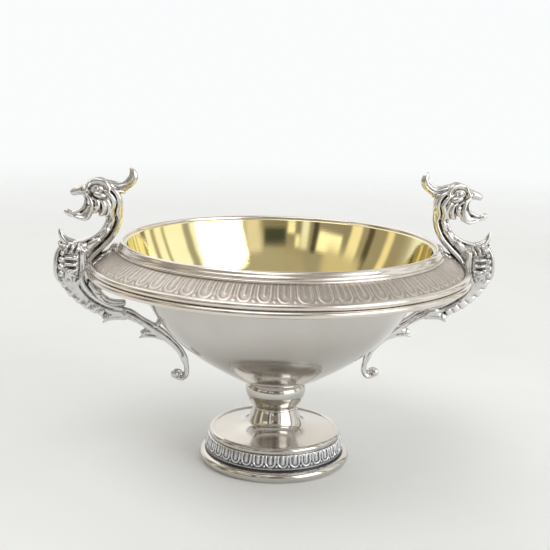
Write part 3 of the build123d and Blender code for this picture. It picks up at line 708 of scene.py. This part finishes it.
def breast_beads(c):
    for x, z, r in ((74.3, 74.6, 0.8), (74.7, 72.4, 1.0), (74.9, 70.0, 1.05), (74.8, 67.5, 1.1)):
        c.blob(x, z, r, r * 1.08, r, y=2.75)
        c.tube([(x, z, r * 0.55, 0.0), (x, z, r * 0.55, 2.6)], blend=0.2)


def breast_spur(c):
    c.tube([(68.8, 77.2, 1.4), (71.2, 77.5, 1.75), (73.0, 78.3, 1.6), (74.2, 79.6, 1.25), (74.9, 81.0, 0.9),
            (75.3, 82.3, 0.5)], flat=0.85)
    c.tube([(73.4, 76.4, 0.9), (74.9, 76.8, 0.7), (75.6, 77.8, 0.45), (75.0, 78.6, 0.3)], flat=1.6,
           blend=0.15)
    c.groove([(70.6, 77.9, 0.2), (72.6, 78.6, 0.3), (73.9, 80.0, 0.26), (74.7, 81.2, 0.18)])


def belly(c):
    c.tube([(71.2, 66.6, 4.2), (69.6, 63.2, 3.9), (67.4, 60.4, 3.2), (64.6, 58.0, 2.6), (61.0, 56.0, 2.1),
            (57.0, 54.3, 2.0), (53.4, 53.0, 1.9)], flat=0.75)
    # two long plain folds down the inner side
    c.ridge([(66.7, 69.8), (66.5, 66.8), (65.6, 64.4), (64.0, 62.0), (61.8, 59.8), (59.4, 58.1),
             (56.8, 56.9)], 0.75, sink=0.1, blend=0.12)
    c.ridge([(68.3, 67.0), (67.6, 64.0), (66.1, 61.4), (63.8, 59.0), (61.0, 57.1), (58.0, 55.8),
             (54.8, 55.0)], 0.75, sink=0.05, blend=0.12)
    c.groove([(67.5, 67.8), (67.0, 65.0), (65.6, 62.4), (63.4, 60.0), (60.8, 58.1), (57.8, 56.6)], 0.34)
    c.groove([(69.4, 66.4), (68.8, 63.6), (67.3, 61.0), (65.0, 58.4), (62.2, 56.5), (59.0, 55.0),
              (55.0, 54.1)], 0.4)


def belly_scutes(c):
    for x, z, long, deep, thick, turn in ((73.0, 64.9, 1.8, 2.4, 2.5, 62), (71.2, 61.9, 1.8, 2.15, 2.4, 54),
                                          (69.0, 59.2, 1.75, 1.9, 2.2, 47), (66.6, 57.0, 1.65, 1.7, 2.05, 40),
                                          (64.1, 55.2, 1.55, 1.5, 1.9, 33), (61.8, 53.9, 1.3, 1.3, 1.75, 27)):
        c.slab(x, z, long, deep, thick, turn, lean=-0.14, edge=0.4, blend=0.1)
        c.slab(x, z, long * 0.6, deep * 0.75, thick + 0.12, turn, lean=-0.14, edge=0.3, blend=0.15)
    # thin gaps between them, over both sides and the outer edge
    for x, z, turn, deep, thick in ((72.1, 63.4, 58, 2.6, 2.5), (70.1, 60.5, 50, 2.3, 2.4),
                                    (67.8, 58.0, 43, 2.0, 2.2), (65.3, 56.0, 36, 1.8, 2.0),
                                    (63.0, 54.5, 30, 1.6, 1.85)):
        run, rise = deep * math.sin(math.radians(turn)), -deep * math.cos(math.radians(turn))
        side = [(x - run, z - rise, 0.17, thick), (x, z, 0.17, thick), (x + run, z + rise, 0.17, thick * 0.8)]
        c.tube(side, carve=True, blend=0.08)
        c.tube([(x + run, z + rise, 0.2, thick * 0.8), (x + run, z + rise, 0.2, 0.0)], carve=True, blend=0.08)


def tail(c):
    c.tube([(56.6, 53.8, 1.9), (53.0, 52.9, 1.75), (49.0, 51.0, 1.5), (45.4, 48.7, 1.45), (41.8, 46.2, 1.65),
            (38.4, 43.6, 1.35), (35.8, 41.0, 1.15), (34.0, 38.6, 1.0), (32.9, 36.0, 0.9)], flat=0.9)
    c.tube([(54.0, 54.9, 0.55), (51.0, 53.9, 0.6), (47.4, 51.4, 0.6), (43.4, 49.0, 0.65), (40.0, 46.8, 0.6),
            (36.8, 43.6, 0.55), (34.0, 40.6, 0.5), (32.2, 37.4, 0.5), (31.6, 35.2, 0.45)], flat=2.2,
            blend=0.2)
    c.groove([(52.6, 54.0), (49.6, 52.4), (46.0, 50.0), (42.4, 47.6), (39.0, 45.0), (36.0, 42.2),
              (34.0, 39.6), (32.7, 36.8)], 0.26)
    for x, z in ((52.6, 51.6), (50.8, 50.7), (49.0, 49.8), (47.2, 48.7)):
        c.ridge([(x + 1.7, z + 1.5, 0.2), (x + 0.5, z + 0.7, 0.4), (x - 0.7, z - 0.5, 0.35)], sink=0.05,
                blend=0.1)


def tail_curl(c):
    c.tube([(33.4, 37.2, 0.95), (32.3, 35.0, 0.95), (31.8, 32.8, 0.95), (32.2, 30.7, 1.0), (33.5, 29.5, 0.95),
            (35.0, 29.6, 0.8)], flat=1.1)
    c.blob(35.8, 31.1, 1.75, 1.7, 1.7, blend=0.3)
    c.tube([(35.9, 32.4, 0.5), (34.8, 32.5, 0.5), (33.8, 32.0, 0.42), (33.5, 31.3, 0.35)], flat=2.0,
           blend=0.2)
    c.groove([(33.0, 36.8), (32.2, 34.6), (31.9, 32.6), (32.4, 30.8), (33.6, 29.8)], 0.2)
    c.groove([(34.4, 31.6), (34.3, 30.9), (34.5, 30.3)], 0.4, sink=-0.2)


def upper_barb(c):
    c.tube([(54.0, 52.6, 1.3), (57.0, 52.3, 1.3), (59.4, 52.1, 1.25), (60.6, 52.2, 0.9)], flat=0.95)
    c.tube([(53.6, 51.3, 0.7), (56.4, 51.3, 0.6), (58.8, 51.0, 0.55), (60.3, 50.4, 0.5), (61.0, 49.7, 0.3)],
           flat=1.6, blend=0.3)
    c.tube([(59.0, 51.6, 0.8), (60.4, 51.4, 0.75), (61.2, 51.9, 0.4)], flat=1.7, blend=0.2)
    c.groove([(54.6, 51.9), (57.0, 51.8), (59.2, 51.5)], 0.25)
    c.groove([(59.4, 53.2), (59.0, 52.2), (59.2, 51.2)], 0.25)


def lower_barb(c):
    c.tube([(41.6, 45.6, 1.2), (44.4, 46.2, 1.25), (46.4, 46.4, 1.2), (47.4, 46.4, 0.8)], flat=0.95)
    c.tube([(40.6, 43.9, 0.6), (43.6, 44.8, 0.6), (46.0, 44.9, 0.55), (47.6, 44.7, 0.5), (48.5, 44.2, 0.3)],
           flat=1.6, blend=0.3)
    c.tube([(45.8, 45.6, 0.7), (47.2, 45.8, 0.7), (47.9, 46.6, 0.4)], flat=1.6, blend=0.2)
    c.groove([(42.4, 45.0), (44.6, 45.4), (46.6, 45.4)], 0.25)
    c.groove([(47.0, 47.6), (46.3, 46.8), (46.4, 45.6)], 0.25)


def leaf_scroll(c):
    c.tube([(54.0, 56.9, 1.15), (57.0, 57.0, 1.15), (59.8, 57.7, 1.25), (61.8, 59.4, 1.4), (63.6, 61.6, 1.5),
            (65.2, 63.6, 1.4)], flat=1.7)
    c.blob(62.6, 61.9, 1.5, 1.15, 1.8, turn=30, blend=0.2)
    c.tube([(52.2, 60.0, 0.9, 0.0), (52.2, 54.0, 0.9, 0.0)], flat=5.0, carve=True, blend=0.1)
    c.groove([(54.2, 57.0, 0.3), (57.0, 57.1, 0.45), (59.6, 57.9, 0.45), (61.4, 59.4, 0.4)])
    c.groove([(61.6, 60.4), (62.8, 60.7), (64.0, 61.2)], 0.25)


def tail_pad(c):
    c.tube([(43.4, 48.3, 0.9), (42.0, 49.4, 1.0), (41.6, 50.8, 0.8), (42.2, 51.8, 0.35)], flat=1.3)


def rim_lug(c):
    c.blob(66.2, 68.2, 2.0, 4.2, 2.4, turn=14)
    c.blob(64.4, 66.0, 2.2, 1.6, 2.2, turn=30)


def rim_palmette(c):
    c.blob(61.4, 73.2, 4.6, 1.0, 2.1, turn=-34.5)
    c.blob(57.6, 76.6, 1.9, 0.7, 1.0, turn=-50, blend=0.3)
    for spread, x, z, size in ((2.3, 62.2, 72.2, 1.0), (3.6, 63.6, 71.0, 0.9), (1.6, 59.2, 74.4, 0.8)):
        c.blob(x, z, 2.2 * size, 0.75, 1.05 * size, turn=-34.5, y=spread, blend=0.12)


SECTIONS = (neck, head, lower_jaw, crest, breast, breast_strap, breast_beads, breast_spur, belly,
            belly_scutes, tail, tail_curl, upper_barb, lower_barb, leaf_scroll, tail_pad, rim_lug,
            rim_palmette)
ROOM = 3.0                    # mm of lattice round a section's CAD box
SEAM = 0.35                   # mm by which neighbouring sections reach into each other
MELT = 0.35                   # mm, how softly sections run together


def overlap(a, b):
    """Slices of lattices a and b where they share points, or None."""
    low = np.maximum(a.first, b.first)
    high = np.minimum(a.first + a.field.shape, b.first + b.field.shape)
    if np.any(high <= low):
        return None
    return tuple(tuple(slice(i, j) for i, j in zip(low - c.first, high - c.first)) for c in (a, b))


def joined(field, clay, others):
    """Values on a section's lattice with the other sections' solids run into them."""
    field = field.copy()
    for other in others:
        shared = overlap(clay, other)
        if shared:
            field[shared[0]] = soft_min(field[shared[0]], other.field[shared[1]], MELT)
    return field


def section_mesh(clay, others):
    """Points, quads and cavity values of one section, closed, and smooth across its seams."""
    together = joined(clay.field, clay, others)
    rest = joined(np.full_like(clay.field, REACH), clay, others)
    region = (clay.field - rest) / 2
    field = np.maximum(together + np.clip(region, 0, 1) * 0.3, region - SEAM)
    grid = openvdb.FloatGrid(REACH)
    first = (int(clay.first[0]), 1 - clay.field.shape[1], int(clay.first[2]))
    grid.copyFromArray(np.ascontiguousarray(whole(blurred(field, 1))), ijk=first)
    points, quads = grid.convertToQuads(isovalue=0.0)
    near = whole(together)
    tight = near - whole(blurred(together, 2))
    wide = near - whole(blurred(together, 6))
    at = np.clip(np.round(np.array(points) - first).astype(int), 0, np.array(near.shape) - 1)
    cavity = 3.2 * tight[at[:, 0], at[:, 1], at[:, 2]] + 1.1 * wide[at[:, 0], at[:, 1], at[:, 2]]
    return np.array(points) * VOXEL, np.array(quads), np.clip(cavity + 0.05, 0, 1)


clays = {}
for maker in SECTIONS:
    low, high = (np.array(c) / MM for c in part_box("right_" + maker.__name__))
    clays[maker.__name__] = Clay((low[0] - ROOM, 0, low[2] - ROOM), high + ROOM)
    maker(clays[maker.__name__])
for name, clay in clays.items():
    points, quads, cavity = section_mesh(clay, [c for n, c in clays.items() if n != name])
    for side, turn in (("right", (1, 1, 1)), ("left", (-1, -1, 1))):
        piece = mesh_piece(f"fine_{side}_{name}", points * turn, quads, cavity=cavity)
        dress(piece, "cast_silver", cast, f"{side}_{name}")

# ---- floor, light and camera ----
FLOOR_REACH = 2.0             # m
FLOOR_FADES = (0.3, 1.1)      # m from the bowl, where the floor runs into the backdrop
stage = bpy.data.meshes.new("floor")
corners = [(-FLOOR_REACH, -FLOOR_REACH, 0), (FLOOR_REACH, -FLOOR_REACH, 0), (FLOOR_REACH, FLOOR_REACH, 0),
           (-FLOOR_REACH, FLOOR_REACH, 0)]
stage.from_pydata(corners, [], [(0, 1, 2, 3)])
floor = bpy.data.objects.new("floor", stage)
bpy.context.scene.collection.objects.link(floor)
paper = bpy.data.materials.new("floor_paper")
paper.use_nodes = True
n = Nodes(paper.node_tree)
shader = paper.node_tree.nodes["Principled BSDF"]
shader.inputs["Roughness"].default_value = 0.7
place = n.new("ShaderNodeTexCoord").outputs["Object"]
mottle = n.span(n.noise(place, 9.0), 0.3, 0.7)
n.tree.links.new(n.mix(mottle, (0.87, 0.90, 0.92, 1), (0.91, 0.94, 0.96, 1)), shader.inputs["Base Color"])
far = n.new("ShaderNodeVectorMath", {0: place}, operation="LENGTH").outputs["Value"]
fade = n.span(far, *FLOOR_FADES, interpolation_type="SMOOTHSTEP")
clear = n.new("ShaderNodeBsdfTransparent").outputs[0]
surface = n.new("ShaderNodeMixShader", {0: fade, 1: shader.outputs[0], 2: clear}).outputs[0]
n.tree.links.new(surface, n.tree.nodes["Material Output"].inputs["Surface"])
stage.materials.append(paper)

AIM = Vector((0, 0, 0.05))


def direction(azimuth, elevation):
    """From the bowl outwards; azimuth 0 is in front of it (-Y) and 90 to its right (+X)."""
    a, e = math.radians(azimuth), math.radians(elevation)
    return Vector((math.sin(a) * math.cos(e), -math.cos(a) * math.cos(e), math.sin(e)))


def window(name, azimuth, elevation, distance, width, height, radiance, colour):
    """An evenly bright rectangle that faces the bowl, in m and W/m2/sr."""
    light = bpy.data.lights.new(name, "AREA")
    light.shape = "RECTANGLE"
    light.size, light.size_y = width, height
    light.energy = radiance * width * height * math.pi
    light.color = colour
    lamp = bpy.data.objects.new(name, light)
    bpy.context.scene.collection.objects.link(lamp)
    ahead = direction(azimuth, elevation)
    lamp.location = AIM + ahead * distance
    lamp.rotation_euler = ahead.to_track_quat("Z", "Y").to_euler()


window("window_right", 47, 21, 2.0, 1.46, 1.36, 2.4, (1.0, 0.995, 0.985))
window("softbox_front", -45, 69, 2.0, 1.7, 1.2, 1.6, (1.0, 1.0, 1.0))

world = bpy.data.worlds.new("studio")
bpy.context.scene.world = world
world.use_nodes = True
n = Nodes(world.node_tree)
sky = n.new("ShaderNodeTexCoord").outputs["Generated"]


def dot(vector):
    return n.new("ShaderNodeVectorMath", {0: sky, 1: vector}, operation="DOT_PRODUCT").outputs["Value"]


def patch(azimuth, elevation, half_width, half_height, soft):
    """1 inside a rectangle of sky, half sizes as tangents of angles, with soft edges."""
    ahead = direction(azimuth, elevation)
    side = direction(azimuth + 90, 0)
    front = n.math("MAXIMUM", dot(ahead), 0.001)
    masks = []
    for axis, half in ((side, half_width), (side.cross(ahead), half_height)):
        off = n.math("ABSOLUTE", n.math("DIVIDE", dot(axis), front))
        masks.append(n.span(off, half + soft, half - soft, interpolation_type="SMOOTHSTEP"))
    return n.math("MULTIPLY", masks[0], masks[1])


up = dot((0, 0, 1))
ceiling = n.mix(n.span(up, 0.2, 0.95), (0.50, 0.48, 0.455, 1), (0.29, 0.265, 0.235, 1))
ground = n.mix(n.span(up, -0.30, 0.02), (0.70, 0.705, 0.705, 1), (0.88, 0.895, 0.895, 1))
SURROUNDINGS = (              # azimuth, elevation, half width, half height, softness, colour
    (10, 66, 0.66, 0.66, 0.06, (0.45, 0.41, 0.36, 1)),        # brown ceiling overhead
    (172, 4, 1.3, 0.48, 0.3, (0.96, 0.98, 0.98, 1)),          # bright backdrop
    (172, 25, 0.9, 0.25, 0.12, (1.06, 1.03, 0.96, 1)),        # and its top, nearer the light
    (96, 30, 0.7, 0.62, 0.25, (1.1, 1.1, 1.07, 1)),           # sunlit wall on the right
    (128, 18, 0.07, 0.5, 0.03, (0.30, 0.26, 0.18, 1)),        # curtain folds on that wall
    (114, 20, 0.045, 0.5, 0.03, (0.45, 0.42, 0.3, 1)),
    (101, 20, 0.03, 0.5, 0.02, (0.50, 0.48, 0.38, 1)),
    (76, 25, 0.06, 0.5, 0.03, (0.40, 0.40, 0.36, 1)),         # wall between it and the window
    (-150, 44, 0.5, 0.4, 0.25, (1.35, 1.33, 1.28, 1)),        # bright ceiling, far left
    (-40, 8, 1.2, 0.46, 0.17, (0.30, 0.27, 0.235, 1)),        # dark room in front
    (-100, 14, 0.5, 0.5, 0.15, (0.36, 0.32, 0.26, 1)),        # its left wall
    (-52, 27, 0.17, 0.08, 0.03, (1.3, 1.2, 0.95, 1)),         # a lit shelf in the room
    (-29, 24, 0.05, 0.14, 0.03, (0.95, 0.95, 0.9, 1)),        # a small window in the room
    (-38, 22, 0.035, 0.2, 0.02, (0.08, 0.07, 0.06, 1)),
    (-74, 20, 0.08, 0.22, 0.03, (1.0, 0.9, 0.66, 1)),         # a lit door frame in the room
    (-88, 16, 0.05, 0.3, 0.03, (0.10, 0.085, 0.06, 1)),
    (-108, 14, 0.06, 0.3, 0.04, (0.95, 0.85, 0.6, 1)),        # another, further left
    (16, 25, 0.1, 0.17, 0.05, (0.85, 0.78, 0.72, 1)),         # a pale wall beside the window
    (-70, 34, 0.3, 0.1, 0.08, (0.66, 0.58, 0.42, 1)),         # lamplight on the room's ceiling
    (-3, 27, 0.15, 0.075, 0.03, (0.06, 0.07, 0.06, 1)),       # something dark in front
    (-17, 23, 0.05, 0.05, 0.02, (1.2, 1.15, 0.9, 1)),         # small lamps
    (-23, 29, 0.03, 0.04, 0.02, (1.2, 1.15, 0.9, 1)),
)
colour = n.mix(n.span(up, -0.03, 0.02), ground, ceiling)
for azimuth, elevation, half_width, half_height, soft, tone in SURROUNDINGS:
    colour = n.mix(patch(azimuth, elevation, half_width, half_height, soft), colour, tone)
n.tree.links.new(colour, world.node_tree.nodes["Background"].inputs["Color"])

camera = bpy.data.cameras.new("camera")
camera.sensor_width, camera.lens = 36.0, CAMERA_LENS
camera.clip_start, camera.clip_end = 0.01, 20.0
eye = bpy.data.objects.new("camera", camera)
bpy.context.scene.collection.objects.link(eye)
bpy.context.scene.camera = eye
turn = math.radians(CAMERA_ROUND)
facing = (Matrix.Rotation(turn + math.radians(CAMERA_PAN), 4, "Z")
          @ Matrix.Rotation(math.radians(90 - CAMERA_DOWN), 4, "X")
          @ Matrix.Rotation(math.radians(CAMERA_ROLL), 4, "Z"))
stand = Vector((CAMERA_BACK * math.sin(turn), -CAMERA_BACK * math.cos(turn), CAMERA_HEIGHT))
eye.matrix_world = Matrix.Translation(stand) @ facing
bpy.context.scene.view_settings.view_transform = "Standard"
